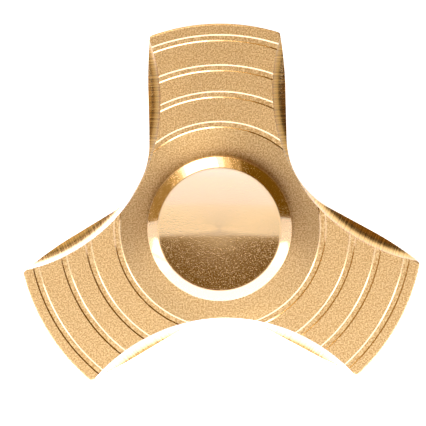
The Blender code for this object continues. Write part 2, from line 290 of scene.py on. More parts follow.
def below(outline):
    """The outline turned over the mid-plane."""
    return [(r, -z) for r, z in reversed(outline)]


def verts_of(geometry):
    return [g for g in geometry if isinstance(g, bmesh.types.BMVert)]


def sweep(bm, vert, centre, turn, steps):
    """Draws an arc of edges from vert round centre, and returns its last vertex."""
    made = bmesh.ops.spin(
        bm, geom=[vert], cent=(*centre, 0.0), axis=(0, 0, 1), angle=turn, steps=steps, use_duplicate=False,
    )
    return verts_of(made["geom_last"])[0]


def make_object(name, bm, material):
    mesh = bpy.data.meshes.new(name)
    bm.to_mesh(mesh)
    bm.free()
    mesh.materials.append(material)
    mesh.shade_smooth()
    mesh.set_sharp_from_angle(angle=SHARP)
    obj = bpy.data.objects.new(name, mesh)
    bpy.context.scene.collection.objects.link(obj)
    return obj


def cut(target, cutter):
    """Takes the cutter out of the target. The cut faces keep the cutter's material."""
    modifier = target.modifiers.new("cut", "BOOLEAN")
    modifier.operation = "DIFFERENCE"
    modifier.material_mode = "TRANSFER"
    modifier.object = cutter
    bpy.context.view_layer.update()
    graph = bpy.context.evaluated_depsgraph_get()
    mesh = bpy.data.meshes.new_from_object(target.evaluated_get(graph))
    target.modifiers.clear()
    target.data = mesh
    bpy.data.objects.remove(cutter)


def stand_for(obj, node, body):
    """The piece takes the place of a frame node and moves with its body."""
    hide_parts(node)
    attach(obj, body)


# Materials


def add_node(tree, kind, settings=None, inputs=None):
    """Adds a node, sets its properties, and sets or links its inputs."""
    made = tree.nodes.new(kind)
    for name, value in (settings or {}).items():
        setattr(made, name, value)
    for socket, value in (inputs or {}).items():
        if isinstance(value, bpy.types.NodeSocket):
            tree.links.new(value, made.inputs[socket])
        else:
            made.inputs[socket].default_value = value
    return made


def new_material(name, settings):
    """A named material, its tree and its shader, whose constant inputs are set from settings."""
    made = bpy.data.materials.get(name)
    if made:
        return made, None, None
    made = bpy.data.materials.new(name)
    made.use_nodes = True
    shader = made.node_tree.nodes["Principled BSDF"]
    for socket, value in settings.items():
        shader.inputs[socket].default_value = value
    return made, made.node_tree, shader


def across_axis(tree):
    """Object coordinates with the height taken out."""
    place = add_node(tree, "ShaderNodeTexCoord").outputs["Object"]
    flat = add_node(tree, "ShaderNodeVectorMath", {"operation": "MULTIPLY"}, {0: place, 1: (1, 1, 0)})
    return place, flat.outputs[0]


def stripes(tree, distance, spacing, detail):
    """Noise along one direction, in stripes about that far apart."""
    steps = add_node(tree, "ShaderNodeMath", {"operation": "MULTIPLY"}, {0: distance, 1: 1 / spacing})
    return add_node(
        tree, "ShaderNodeTexNoise", {"noise_dimensions": "1D"},
        {"W": steps.outputs[0], "Scale": 1.0, "Detail": detail},
    ).outputs[0]


def lathe_marks(tree, spacing):
    """Brightness of fine rings left by the lathe: noise that depends only on the radius."""
    place, flat = across_axis(tree)
    radius = add_node(tree, "ShaderNodeVectorMath", {"operation": "LENGTH"}, {0: flat}).outputs["Value"]
    return place, flat, stripes(tree, radius, spacing, 2.0)


def outward(tree, flat):
    """Direction away from the spin axis, which is the way light spreads on a turned face."""
    unit = add_node(tree, "ShaderNodeVectorMath", {"operation": "NORMALIZE"}, {0: flat}).outputs[0]
    settings = {"vector_type": "VECTOR", "convert_from": "OBJECT", "convert_to": "WORLD"}
    return add_node(tree, "ShaderNodeVectorTransform", settings, {0: unit}).outputs[0]


def grains(tree, place, size, detail=2.0):
    """Three-dimensional noise whose grains are about that size."""
    return add_node(
        tree, "ShaderNodeTexNoise", {},
        {"Vector": place, "Scale": 0.6 / size, "Detail": detail, "Roughness": 0.6},
    ).outputs[0]


def spread(tree, value, low_end, high_end, start=0.3, end=0.7):
    """Maps noise, which lies mostly between 0.3 and 0.7, to a range."""
    return add_node(
        tree, "ShaderNodeMapRange", {},
        {"Value": value, "From Min": start, "From Max": end, "To Min": low_end, "To Max": high_end},
    ).outputs[0]


def bumped(tree, height, depth, before=None):
    """Normals of a surface with that relief, on top of the relief before it."""
    inputs = {"Height": height, "Strength": 1.0, "Distance": depth}
    if before:
        inputs["Normal"] = before
    return add_node(tree, "ShaderNodeBump", {}, inputs).outputs[0]


def darker(tone, share):
    return tuple(share * c for c in tone)


def tinted(tree, shader, noise, first, second):
    """Colours the shader from first, where the noise is low, to second, where it is high."""
    inputs = {0: spread(tree, noise, 0.0, 1.0), 6: (*first, 1), 7: (*second, 1)}
    ramp = add_node(tree, "ShaderNodeMix", {"data_type": "RGBA"}, inputs)
    tree.links.new(ramp.outputs[2], shader.inputs["Base Color"])


def satin_anodised_aluminium(finish):
    # Bead blasted, then dyed and sealed: an even frosted sheen with fine sparkle. The blast pits are under
    # 0.1 mm wide in the metal and are drawn 0.14 mm wide so that they show.
    made, tree, shader = new_material("satin_anodised_aluminium", {
        "Metallic": 1.0, "Roughness": 0.5, "Coat Weight": 0.2, "Coat Roughness": 0.4, "Coat IOR": 1.6,
    })
    if tree:
        place = across_axis(tree)[0]
        pits = grains(tree, place, mm(0.14), 0.0)
        dye = grains(tree, place, mm(5.0))
        tinted(tree, shader, pits, finish.satin_gold_deep, finish.satin_gold)
        tree.links.new(spread(tree, dye, 0.47, 0.53), shader.inputs["Roughness"])
        tree.links.new(bumped(tree, pits, mm(0.02)), shader.inputs["Normal"])
    return made


def lathe_satin_anodised_aluminium(finish):
    # The hub's faces were turned once more after blasting: the same dye over fine rings, which spread the
    # light away from the axis in soft fans. The rings are about 0.1 mm apart and are drawn 0.45 mm apart.
    made, tree, shader = new_material("lathe_satin_anodised_aluminium", {
        "Metallic": 1.0, "Roughness": 0.4, "Anisotropic": 0.85, "Coat Weight": 0.15, "Coat Roughness": 0.4,
        "Coat IOR": 1.6,
    })
    if tree:
        place, flat, rings = lathe_marks(tree, mm(0.45))
        pits = grains(tree, place, mm(0.14), 0.0)
        tinted(tree, shader, pits, finish.satin_gold_deep, finish.satin_gold)
        tree.links.new(spread(tree, rings, 0.38, 0.42), shader.inputs["Roughness"])
        surface = bumped(tree, rings, mm(0.006))
        tree.links.new(bumped(tree, pits, mm(0.015), surface), shader.inputs["Normal"])
        tree.links.new(outward(tree, flat), shader.inputs["Tangent"])
    return made


def turned_anodised_aluminium(finish):
    # Fine turned with a polishing feed, then anodised: almost a mirror under the sealed oxide, with a faint
    # sheaf of rings and a sparse glitter of pits, which are finer in the metal and are drawn to show.
    made, tree, shader = new_material("turned_anodised_aluminium", {
        "Metallic": 1.0, "Roughness": 0.11, "Anisotropic": 1.0, "Coat Weight": 1.0, "Coat Roughness": 0.05,
        "Coat IOR": 2.1,
    })
    if tree:
        place, flat, rings = lathe_marks(tree, mm(0.3))
        specks = grains(tree, place, mm(0.11))
        tinted(tree, shader, specks, darker(finish.turned_gold, 0.9), finish.turned_gold)
        tree.links.new(spread(tree, rings, 0.1, 0.12), shader.inputs["Roughness"])
        surface = bumped(tree, rings, mm(0.0012))
        pits = spread(tree, specks, 0.0, 1.0, 0.58, 0.72)
        tree.links.new(bumped(tree, pits, mm(0.01), surface), shader.inputs["Normal"])
        tree.links.new(outward(tree, flat), shader.inputs["Tangent"])
    return made


def milled_anodised_aluminium(finish):
    # Cut with a form cutter that crossed the arm: bright, with tool marks square to the arm. The marks are
    # about 0.1 mm apart and are drawn 0.35 mm apart so that they show.
    made, tree, shader = new_material("milled_anodised_aluminium", {"Metallic": 1.0, "Roughness": 0.24})
    if tree:
        place, flat = across_axis(tree)
        along = None
        for k in range(ARMS):
            heading = math.pi / 2 + k * math.tau / ARMS
            arm = (math.cos(heading), math.sin(heading), 0.0)
            reach = add_node(
                tree, "ShaderNodeVectorMath", {"operation": "DOT_PRODUCT"}, {0: flat, 1: arm},
            ).outputs["Value"]
            if along:
                # the arm that a point is on is the one along which it reaches farthest
                reach = add_node(
                    tree, "ShaderNodeMath", {"operation": "MAXIMUM"}, {0: along, 1: reach},
                ).outputs[0]
            along = reach
        marks = stripes(tree, along, mm(0.35), 1.0)
        tinted(tree, shader, marks, darker(finish.milled_gold, 0.6), finish.milled_gold)
        tree.links.new(spread(tree, marks, 0.2, 0.28), shader.inputs["Roughness"])
        specks = grains(tree, place, mm(0.2))
        surface = bumped(tree, marks, mm(0.012))
        tree.links.new(bumped(tree, specks, mm(0.004), surface), shader.inputs["Normal"])
    return made


def ground_bearing_steel(finish):
    # Through-hardened chromium steel, ground all over: cool grey with very fine rings.
    made, tree, shader = new_material("ground_bearing_steel", {
        "Metallic": 1.0, "Roughness": 0.18, "Anisotropic": 0.4,
    })
    if tree:
        place, flat, rings = lathe_marks(tree, mm(0.12))
        stain = grains(tree, place, mm(2.0))
        tinted(tree, shader, stain, darker(finish.ring_steel, 0.82), finish.ring_steel)
        tree.links.new(spread(tree, rings, 0.14, 0.24), shader.inputs["Roughness"])
        tree.links.new(bumped(tree, rings, mm(0.001)), shader.inputs["Normal"])
        tree.links.new(outward(tree, flat), shader.inputs["Tangent"])
    return made


def grained_steel(name, shade, rough, size, depth):
    """A steel whose tone and roughness vary with grains of one size."""
    made, tree, shader = new_material(name, {"Metallic": 1.0, "Roughness": rough})
    if tree:
        place = across_axis(tree)[0]
        cloud = grains(tree, place, size, 4.0)
        tinted(tree, shader, cloud, darker(shade, 0.8), shade)
        tree.links.new(spread(tree, cloud, rough * 0.8, rough * 1.2), shader.inputs["Roughness"])
        tree.links.new(bumped(tree, cloud, depth), shader.inputs["Normal"])
    return made


def polished_ball_steel(finish):
    # Lapped chromium steel: a true mirror, with only a breath of oil on it.
    return grained_steel("polished_ball_steel", finish.ball_steel, 0.05, mm(1.2), mm(0.0002))


def pressed_sheet_steel(finish):
    # Cold-rolled bright strip: a soft mirror with the rollers' grain.
    return grained_steel("pressed_sheet_steel", finish.sheet_steel, 0.28, mm(0.3), mm(0.002))


def drawn_spring_wire(finish):
    # Patented carbon steel wire: mid grey, slightly drawn.
    return grained_steel("drawn_spring_wire", finish.wire_steel, 0.34, mm(0.15), mm(0.002))


def black_oxide_steel(finish):
    # Alloy steel screw, blackened and oiled: near black with a dull shine.
    return grained_steel("black_oxide_steel", finish.black_steel, 0.42, mm(0.2), mm(0.004))


def pale_card(finish):
    # Matt studio card, lit and given a glow of its own until it is nearly white. What the metal sees of it
    # instead
    # is painted light glowing from the card: a painted bright pool round the spinner, painted patches of
    # other light beside the arms and a painted bright stretch in front. Far out the painted glow falls off
    # into the dim room.
    made, tree, shader = new_material("pale_card", {
        "Roughness": 0.9, "Specular IOR Level": 0.1, "Emission Color": (1, 1, 1, 1), "Emission Strength": 0.8,
    })
    if tree:
        place, flat = across_axis(tree)
        fibres = grains(tree, place, mm(8.0), 3.0)
        tinted(tree, shader, fibres, darker(finish.floor, 0.985), finish.floor)
        radius = add_node(tree, "ShaderNodeVectorMath", {"operation": "LENGTH"}, {0: flat}).outputs["Value"]
        depth = add_node(tree, "ShaderNodeSeparateXYZ", {}, {0: place}).outputs[1]
        # each painted pool of light is full up to one distance and fades out to another, and the next lies
        # over it
        painted_pools = [(radius, mm(38), mm(54), (1.0, 1.0, 1.0, 1.0))]
        # round painted patches of light beside the arms: centre, full radius and outer radius in mm, and
        # light
        for x, y, inside, outside, light in (
            (-44, 42, 14, 24, (1.7, 1.7, 1.7, 1.0)),
            (-52, 16, 12, 22, (0.5, 0.36, 0.2, 1.0)),
            (32, 2, 10, 17, (2.1, 2.3, 3.0, 1.0)),
            (-19, 31.5, 4, 7, (1.8, 1.8, 2.0, 1.0)),
            (-33, 2, 9, 17, (4.4, 5.4, 10.0, 1.0)),
        ):
            reach = add_node(
                tree, "ShaderNodeVectorMath", {"operation": "DISTANCE"}, {0: flat, 1: (mm(x), mm(y), 0)},
            ).outputs["Value"]
            painted_pools.append((reach, mm(inside), mm(outside), light))
        # the painted bright stretch of light in front
        painted_pools.append((depth, mm(-24), mm(-6), (4.2, 5.2, 9.6, 1.0)))
        # the card's dim painted glow far out, under all the painted pools
        painted_light = (0.12, 0.08, 0.03, 1.0)
        for distance, inside, outside, light in painted_pools:
            share = add_node(tree, "ShaderNodeMapRange", {"interpolation_type": "SMOOTHSTEP"}, {
                "Value": distance, "From Min": inside, "From Max": outside, "To Min": 1.0, "To Max": 0.0,
            }).outputs[0]
            painted_light = add_node(
                tree, "ShaderNodeMix", {"data_type": "RGBA"}, {0: share, 6: painted_light, 7: light},
            ).outputs[2]
        glow = add_node(tree, "ShaderNodeEmission", {}, {"Color": painted_light, "Strength": 1.0}).outputs[0]
        seen = add_node(tree, "ShaderNodeLightPath").outputs["Is Camera Ray"]
        mixed = add_node(tree, "ShaderNodeMixShader", {}, {0: seen, 1: glow, 2: shader.outputs[0]}).outputs[0]
        tree.links.new(mixed, tree.nodes["Material Output"].inputs["Surface"])
    return made


# Pieces


def arm_outline(bm, sizes):
    """Draws half an arm's outline, arm along +X, from the middle of the gap to the middle of the tip."""
    half_pitch = math.pi / ARMS
    corner = sizes.arm_half_width / math.sin(half_pitch)
    fillet = (sizes.neck_radius - corner) / (1 / math.sin(half_pitch) - 1)
    away = sizes.neck_radius + fillet
    neck = (sizes.neck_radius * math.cos(half_pitch), sizes.neck_radius * math.sin(half_pitch))
    vert = bm.verts.new((*neck, 0.0))
    fillet_centre = (away * math.cos(half_pitch), away * math.sin(half_pitch))
    vert = sweep(bm, vert, fillet_centre, math.pi / 2 - half_pitch, 32)
    start = bm.verts.new((sizes.bow_start, sizes.arm_half_width, 0.0))
    bm.edges.new((vert, start))
    bow_centre = (sizes.bow_start, sizes.arm_half_width - sizes.bow_radius)
    # the corner's centre is a corner radius inside both the bowed side and the tip's circle
    inner_tip = sizes.tip_radius - sizes.corner_radius
    inner_bow = sizes.bow_radius - sizes.corner_radius
    along = inner_tip
    for _ in range(60):
        side = bow_centre[1] + math.sqrt(inner_bow**2 - (along - bow_centre[0]) ** 2)
        along = math.sqrt(inner_tip**2 - side**2)
    side_end = math.atan2(side - bow_centre[1], along - bow_centre[0])
    tip_start = math.atan2(side, along)
    vert = sweep(bm, start, bow_centre, side_end - math.pi / 2, 20)
    vert = sweep(bm, vert, (along, side), tip_start - side_end, 8)
    sweep(bm, vert, (0.0, 0.0), -tip_start, 36)


def rotor_plate(sizes):
    """The flat rotor with its outline chamfered, before any cut."""
    bm = bmesh.new()
    arm_outline(bm, sizes)
    other = bmesh.ops.duplicate(bm, geom=bm.verts[:] + bm.edges[:])["geom"]
    bmesh.ops.scale(bm, vec=(1, -1, 1), verts=verts_of(other))
    arm = bm.verts[:] + bm.edges[:]
    bmesh.ops.rotate(bm, cent=(0, 0, 0), matrix=Matrix.Rotation(math.pi / 2, 3, "Z"), verts=bm.verts)
    for k in range(1, ARMS):
        copy = bmesh.ops.duplicate(bm, geom=arm)["geom"]
        spin = Matrix.Rotation(k * math.tau / ARMS, 3, "Z")
        bmesh.ops.rotate(bm, cent=(0, 0, 0), matrix=spin, verts=verts_of(copy))
    bmesh.ops.remove_doubles(bm, verts=bm.verts, dist=MERGE)
    face = bmesh.ops.contextual_create(bm, geom=bm.edges)["faces"]
    bmesh.ops.translate(bm, verts=bm.verts, vec=(0, 0, -sizes.face))
    raised = bmesh.ops.extrude_face_region(bm, geom=face)["geom"]
    bmesh.ops.translate(bm, verts=verts_of(raised), vec=(0, 0, 2 * sizes.face))
    bmesh.ops.recalc_face_normals(bm, faces=bm.faces)
    rims = [e for e in bm.edges if abs(e.verts[0].co.z - e.verts[1].co.z) < MERGE]
    bmesh.ops.bevel(
        bm, geom=rims, offset=sizes.edge_chamfer, offset_type="OFFSET", segments=2, profile=0.5,
        affect="EDGES", material=-1, clamp_overlap=True,
    )
    return bm


def scallop_outline(sizes):
    """Section of the cutter that hollows an arm's side, its cove outside."""
    steep = sizes.cove_steep
    radius = sizes.cove_radius
    centre = (sizes.scallop_radius - radius * math.sin(steep), sizes.face + radius * math.cos(steep))
    cove = arc(centre, radius, sizes.cove_shallow - math.pi / 2, steep - math.pi / 2, 20)
    core = cove[0][0] - mm(4.0)
    clear = mm(1.0)
    above = (cove[-1][0] + clear / math.tan(steep), sizes.face + clear)
    return [(core, cove[0][1]), *cove, above, (core, above[1])]


def groove_outline(sizes, radius):
    """Section of one groove's cutter: a flat floor between two shallow sloped walls."""
    inner = radius - sizes.groove_width
    run = sizes.groove_wall_run
    clear = mm(0.5)
    slope = clear * run / sizes.groove_depth
    floor = sizes.face - sizes.groove_depth
    return [
        (inner + run, floor), (radius - run, floor),
        (radius + slope, sizes.face + clear), (inner - slope, sizes.face + clear),
    ]


def finish_level_faces(mesh, satin, lathe_satin, hub_radius):
    """Level faces are blasted, and those that reach inside hub_radius are turned satin."""
    mesh.materials.append(lathe_satin)
    names = [m.name for m in mesh.materials]
    for face in mesh.polygons:
        if abs(face.normal.z) > 0.999:
            nearest = min(math.hypot(*mesh.vertices[i].co.xy) for i in face.vertices)
            inside = nearest < hub_radius
            face.material_index = names.index(lathe_satin.name if inside else satin.name)


class SPINNER_OT_rotor(bpy.types.Operator):
    """Three-armed rotor: chamfered plate, scalloped arms, turned grooves and the bearing's seat"""

    bl_idname = "spinner.rotor"
    bl_label = "Rotor"

    def execute(self, context):
        sizes = context.scene.spinner_rotor
        finish = context.scene.spinner_finishes
        bearing = context.scene.spinner_bearing
        satin = satin_anodised_aluminium(finish)
        turned_finish = turned_anodised_aluminium(finish)
        milled = milled_anodised_aluminium(finish)
        lathe_satin = lathe_satin_anodised_aluminium(finish)
        rotor = make_object("rotor", rotor_plate(sizes), satin)
        scallops = []
        for k in range(ARMS):
            gap = math.pi / 2 + (k + 0.5) * math.tau / ARMS
            centre = (sizes.scallop_centre * math.cos(gap), sizes.scallop_centre * math.sin(gap))
            for outline in (scallop_outline(sizes), below(scallop_outline(sizes))):
                scallops.append(turned(outline, SCALLOP_FACETS, centre))
        cut(rotor, make_object("scallops", gathered(scallops), milled))
        grooves = []
        for radius in sizes.groove_radii:
            outline = groove_outline(sizes, radius)
            grooves += [turned(section, GROOVE_FACETS) for section in (outline, below(outline))]
        cut(rotor, make_object("grooves", gathered(grooves), turned_finish))
        seat = high("bearing_outer_ring")[0] + bearing.seat_gap
        half_ring = high("bearing_outer_ring")[2]
        clear = mm(1.0)
        mouth = [(seat, half_ring), (seat + sizes.face - half_ring + clear, sizes.face + clear)]
        bore = [(0.0, -mouth[1][1]), *below(mouth), *mouth, (0.0, mouth[1][1])]
        cut(rotor, make_object("bore", turned(bore, context.scene.spinner_studio.steps), turned_finish))
        inside_grooves = sizes.groove_radii[3] - sizes.groove_width - mm(0.5)
        finish_level_faces(rotor.data, satin, lathe_satin, inside_grooves)
        rotor.data.shade_smooth()
        rotor.data.set_sharp_from_angle(angle=SHARP)
        stand_for(rotor, "spinner_body", "rotor")
        return {"FINISHED"}


def cap_outline(sizes, shim_top):
    """Section of a finger cap, dish upwards."""
    sphere = (sizes.dish_radius**2 + sizes.dish_depth**2) / (2 * sizes.dish_depth)
    dish_angle = math.asin(sizes.dish_radius / sphere)
    dish_centre = (0.0, sizes.top - sizes.dish_depth + sphere)
    spigot_end = low("finger_cap_top")[2]
    corners = [
        (0.0, sizes.tapped_end), (sizes.tapped_radius, sizes.tapped_end), (sizes.tapped_radius, spigot_end),
        (sizes.spigot_radius, spigot_end), (sizes.spigot_radius, shim_top), (sizes.boss_radius, shim_top),
        (sizes.boss_radius, sizes.under), (sizes.foot_radius, sizes.under),
        (sizes.shoulder_radius, sizes.top - sizes.chamfer_drop),
        (sizes.dish_radius + sizes.rim_width, sizes.top), (sizes.dish_radius, sizes.top),
    ]
    dish = arc(dish_centre, sphere, -math.pi / 2 + dish_angle, -math.pi / 2, 40)
    steps = 3
    side = eased(corners, mm(0.06), steps)
    del side[-(steps + 1):]  # the last corner is where the dish begins, and it stays crisp
    return [*side, *dish]


class SPINNER_OT_caps(bpy.types.Operator):
    """Finger caps: turned buttons with a thumb dish, a bright chamfer and a tapped spigot"""

    bl_idname = "spinner.caps"
    bl_label = "Finger caps"

    def execute(self, context):
        scene = context.scene
        finish = turned_anodised_aluminium(scene.spinner_finishes)
        shim_top = high("cap_shim_top")[2] + scene.spinner_bearing.seat_gap
        outline = cap_outline(scene.spinner_caps, shim_top)
        for end, section in (("top", outline), ("bottom", below(outline))):
            cap = make_object(f"cap_{end}", turned(section, scene.spinner_studio.steps), finish)
            stand_for(cap, f"finger_cap_{end}", "held_core")
        return {"FINISHED"}


class SPINNER_OT_rings(bpy.types.Operator):
    """Bearing rings: ground outer and inner rings with their races"""

    bl_idname = "spinner.rings"
    bl_label = "Bearing rings"

    def execute(self, context):
        sizes = context.scene.spinner_bearing
        steel = ground_bearing_steel(context.scene.spinner_finishes)
        facets = context.scene.spinner_studio.steps
        race = sizes.ball_radius + sizes.race_gap
        half = high("bearing_outer_ring")[2]
        outside = high("bearing_outer_ring")[0]
        groove_low = low("shield_snap_ring_top")[2] - sizes.seat_gap
        groove_high = high("shield_snap_ring_top")[2] + sizes.seat_gap
        mouth = [
            (sizes.outer_shoulder, sizes.shield_seat), (sizes.shield_rim, sizes.shield_seat),
            (sizes.shield_rim, groove_low), (sizes.clip_groove, groove_low), (sizes.clip_groove, groove_high),
            (sizes.shield_rim, groove_high), (sizes.shield_rim, half),
        ]
        edge = math.acos((sizes.outer_shoulder - sizes.pitch_radius) / race)
        chamfer = sizes.ring_chamfer
        centre = (sizes.pitch_radius, 0.0)
        outer = [
            (outside - chamfer, -half), (outside, chamfer - half), (outside, half - chamfer),
            (outside - chamfer, half), *reversed(mouth), *arc(centre, race, edge, -edge, 24),
            *[(r, -z) for r, z in mouth],
        ]
        edge = math.acos((sizes.pitch_radius - sizes.inner_shoulder) / race)
        bore = sizes.bore_radius
        inner = [
            (bore + chamfer, -half), (sizes.inner_shoulder, -half),
            *arc(centre, race, math.pi + edge, math.pi - edge, 24),
            (sizes.inner_shoulder, half), (bore + chamfer, half), (bore, half - chamfer),
            (bore, chamfer - half),
        ]
        for name, outline, body in (("outer", outer, "rotor"), ("inner", inner, "held_core")):
            ring = make_object(f"{name}_ring", turned(eased(outline, mm(0.04), 2), facets), steel)
            stand_for(ring, f"bearing_{name}_ring", body)
        return {"FINISHED"}


class SPINNER_OT_balls(bpy.types.Operator):
    """Seven lapped steel balls on their pitch circle"""

    bl_idname = "spinner.balls"
    bl_label = "Balls"

    def execute(self, context):
        sizes = context.scene.spinner_bearing
        steel = polished_ball_steel(context.scene.spinner_finishes)
        for k in range(BALLS):
            heading = math.pi / 2 + k * math.tau / BALLS
            bm = bmesh.new()
            bmesh.ops.create_icosphere(bm, subdivisions=4, radius=sizes.ball_radius)
            place = (sizes.pitch_radius * math.cos(heading), sizes.pitch_radius * math.sin(heading), 0.0)
            bmesh.ops.translate(bm, verts=bm.verts, vec=place)
            ball = make_object(f"ball_{k + 1}_piece", bm, steel)
            stand_for(ball, f"bearing_ball_{k + 1}", f"ball_{k + 1}")
        return {"FINISHED"}


def cage_half(sizes):
    """A band pressed into a wave: over each ball it arches, and between balls it lies flat."""
    bm = bmesh.new()
    ends = [bm.verts.new((r, 0.0, 0.0)) for r in (sizes.cage_inner, sizes.cage_outer)]
    edge = bm.edges.new(ends)
    bmesh.ops.subdivide_edges(bm, edges=[edge], cuts=4)
    bmesh.ops.rotate(
        bm, cent=(0, 0, 0), matrix=Matrix.Rotation(math.pi / 2 + math.pi / BALLS, 3, "Z"), verts=bm.verts,
    )
    spin_all(bm, math.tau, BALLS * POCKET_STEPS, use_merge=True)
    bmesh.ops.recalc_face_normals(bm, faces=bm.faces)
    if bm.faces[:][0].normal.z < 0:
        bmesh.ops.reverse_faces(bm, faces=bm.faces)
    middle = sizes.pocket_radius + sizes.cage_sheet / 2
    for vert in bm.verts:
        heading = math.atan2(vert.co.y, vert.co.x) - math.pi / 2
        offset = (heading * BALLS / math.tau + 0.5) % 1 - 0.5
        across = offset * math.tau / BALLS * sizes.pitch_radius
        arch = math.sqrt(max(0.0, middle**2 - across**2))
        vert.co.z = max(sizes.cage_gap + sizes.cage_sheet / 2, arch)
    bmesh.ops.solidify(bm, geom=bm.faces[:], thickness=sizes.cage_sheet)
    return bm


class SPINNER_OT_cage(bpy.types.Operator):
    """Ball cage: two pressed steel ribbons"""

    bl_idname = "spinner.cage"
    bl_label = "Ball cage"

    def execute(self, context):
        sizes = context.scene.spinner_bearing
        steel = pressed_sheet_steel(context.scene.spinner_finishes)
        for end in ("top", "bottom"):
            bm = cage_half(sizes)
            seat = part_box(f"cage_half_{end}")[0][2]
            if end == "bottom":
                bmesh.ops.scale(bm, vec=(1, 1, -1), verts=bm.verts)
                bmesh.ops.reverse_faces(bm, faces=bm.faces)
            lowest = min(v.co.z for v in bm.verts)
            bmesh.ops.translate(bm, verts=bm.verts, vec=(0, 0, seat - lowest))
            cage = make_object(f"cage_{end}", bm, steel)
            stand_for(cage, f"cage_half_{end}", "cage")
        return {"FINISHED"}


def shield_outline(sizes):
    """Section of a shield: a flat rim, a pressed step up and a flat web round the hole."""
    low_side = low("bearing_shield_top")[2]
    raised = low_side + sizes.shield_step
    sheet = sizes.shield_sheet
    rim = high("bearing_shield_top")[0]
    bend = sizes.outer_shoulder
    hole = sizes.shield_hole
    return [
        (hole, raised), (bend - sizes.shield_step, raised), (bend, low_side), (rim, low_side),
        (rim, low_side + sheet), (bend, low_side + sheet), (bend - sizes.shield_step, raised + sheet),
        (hole, raised + sheet),
    ]


def snap_ring(sizes, height):
    """An open ring of round wire, its opening towards +Y."""
    bm = bmesh.new()
    wire = bmesh.ops.create_circle(bm, cap_ends=True, segments=16, radius=sizes.clip_wire)["verts"]
    centre_radius = high("shield_snap_ring_top")[0] - sizes.clip_wire
    start = math.pi / 2 + sizes.clip_opening / 2
    place = Matrix.Rotation(start, 4, "Z") @ Matrix.Translation((centre_radius, 0, height))
    bmesh.ops.transform(bm, matrix=place @ Matrix.Rotation(math.pi / 2, 4, "X"), verts=wire)
    bmesh.ops.spin(
        bm, geom=bm.faces[:], cent=(0, 0, 0), axis=(0, 0, 1), angle=math.tau - sizes.clip_opening, steps=150,
        use_duplicate=False,
    )
    bmesh.ops.recalc_face_normals(bm, faces=bm.faces)
    return bm


class SPINNER_OT_shields(bpy.types.Operator):
    """Dust shields and the wire snap rings that hold them"""

    bl_idname = "spinner.shields"
    bl_label = "Shields and snap rings"

    def execute(self, context):
        sizes = context.scene.spinner_bearing
        finish = context.scene.spinner_finishes
        facets = context.scene.spinner_studio.steps
        outline = eased(shield_outline(sizes), mm(0.06))
        wire_height = (low("shield_snap_ring_top")[2] + high("shield_snap_ring_top")[2]) / 2
        for end, section, height in (("top", outline, wire_height), ("bottom", below(outline), -wire_height)):
            shield = make_object(f"shield_{end}", turned(section, facets), pressed_sheet_steel(finish))
            stand_for(shield, f"bearing_shield_{end}", "rotor")
            ring = make_object(f"snap_ring_{end}", snap_ring(sizes, height), drawn_spring_wire(finish))
            stand_for(ring, f"shield_snap_ring_{end}", "rotor")
        return {"FINISHED"}


def threaded_rod(sizes, half_length):
    """A screw thread wound from one turn of its profile, trimmed flat at both ends."""
    bm = bmesh.new()
    crest = sizes.crest_radius
    root = crest - sizes.thread_depth
    pitch = sizes.pitch
    profile = [(root, 0.0), (root, 0.2), (crest, 0.52), (crest, 0.68), (root, 1.0)]
    verts = [bm.verts.new((r, 0.0, z * pitch)) for r, z in profile]
    for a, b in zip(verts, verts[1:]):
        bm.edges.new((a, b))
    turns = math.ceil(2 * half_length / pitch) + 3
    spin_all(bm, math.tau * turns, THREAD_STEPS * turns, dvec=(0, 0, pitch / THREAD_STEPS))
    bmesh.ops.remove_doubles(bm, verts=bm.verts, dist=MERGE)
    bmesh.ops.translate(bm, verts=bm.verts, vec=(0, 0, -turns * pitch / 2))
    for side in (-1, 1):
        everything = bm.verts[:] + bm.edges[:] + bm.faces[:]
        bmesh.ops.bisect_plane(
            bm, geom=everything, plane_co=(0, 0, side * half_length), plane_no=(0, 0, side), clear_outer=True,
        )
    open_edges = [e for e in bm.edges if e.is_boundary]
    bmesh.ops.holes_fill(bm, edges=open_edges, sides=0)
    bmesh.ops.recalc_face_normals(bm, faces=bm.faces)
    return bm


class SPINNER_OT_axle(bpy.types.Operator):
    """Threaded stud and the two shims between the caps and the inner ring"""

    bl_idname = "spinner.axle"
    bl_label = "Stud and shims"

    def execute(self, context):
        scene = context.scene
        sizes = scene.spinner_stud
        finish = scene.spinner_finishes
        black = black_oxide_steel(finish)
        top = high("axle_stud")[2]
        stud = make_object("stud", threaded_rod(sizes, top), black)
        bm = bmesh.new()
        radius = sizes.hex_across / math.sqrt(3)
        bmesh.ops.create_cone(
            bm, cap_ends=True, segments=6, radius1=radius, radius2=radius, depth=2 * sizes.hex_depth,
        )
        bmesh.ops.translate(bm, verts=bm.verts, vec=(0, 0, top))
        cut(stud, make_object("socket", bm, black))
        stand_for(stud, "axle_stud", "held_core")
        bore = scene.spinner_bearing.bore_radius + scene.spinner_bearing.seat_gap
        for end in ("top", "bottom"):
            box_low, box_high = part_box(f"cap_shim_{end}")
            rim = box_high[0]
            outline = [(bore, box_low[2]), (rim, box_low[2]), (rim, box_high[2]), (bore, box_high[2])]
            bm = turned(eased(outline, mm(0.05)), scene.spinner_studio.steps)
            shim = make_object(f"shim_{end}", bm, pressed_sheet_steel(finish))
            stand_for(shim, f"cap_shim_{end}", "held_core")
        return {"FINISHED"}


# Studio


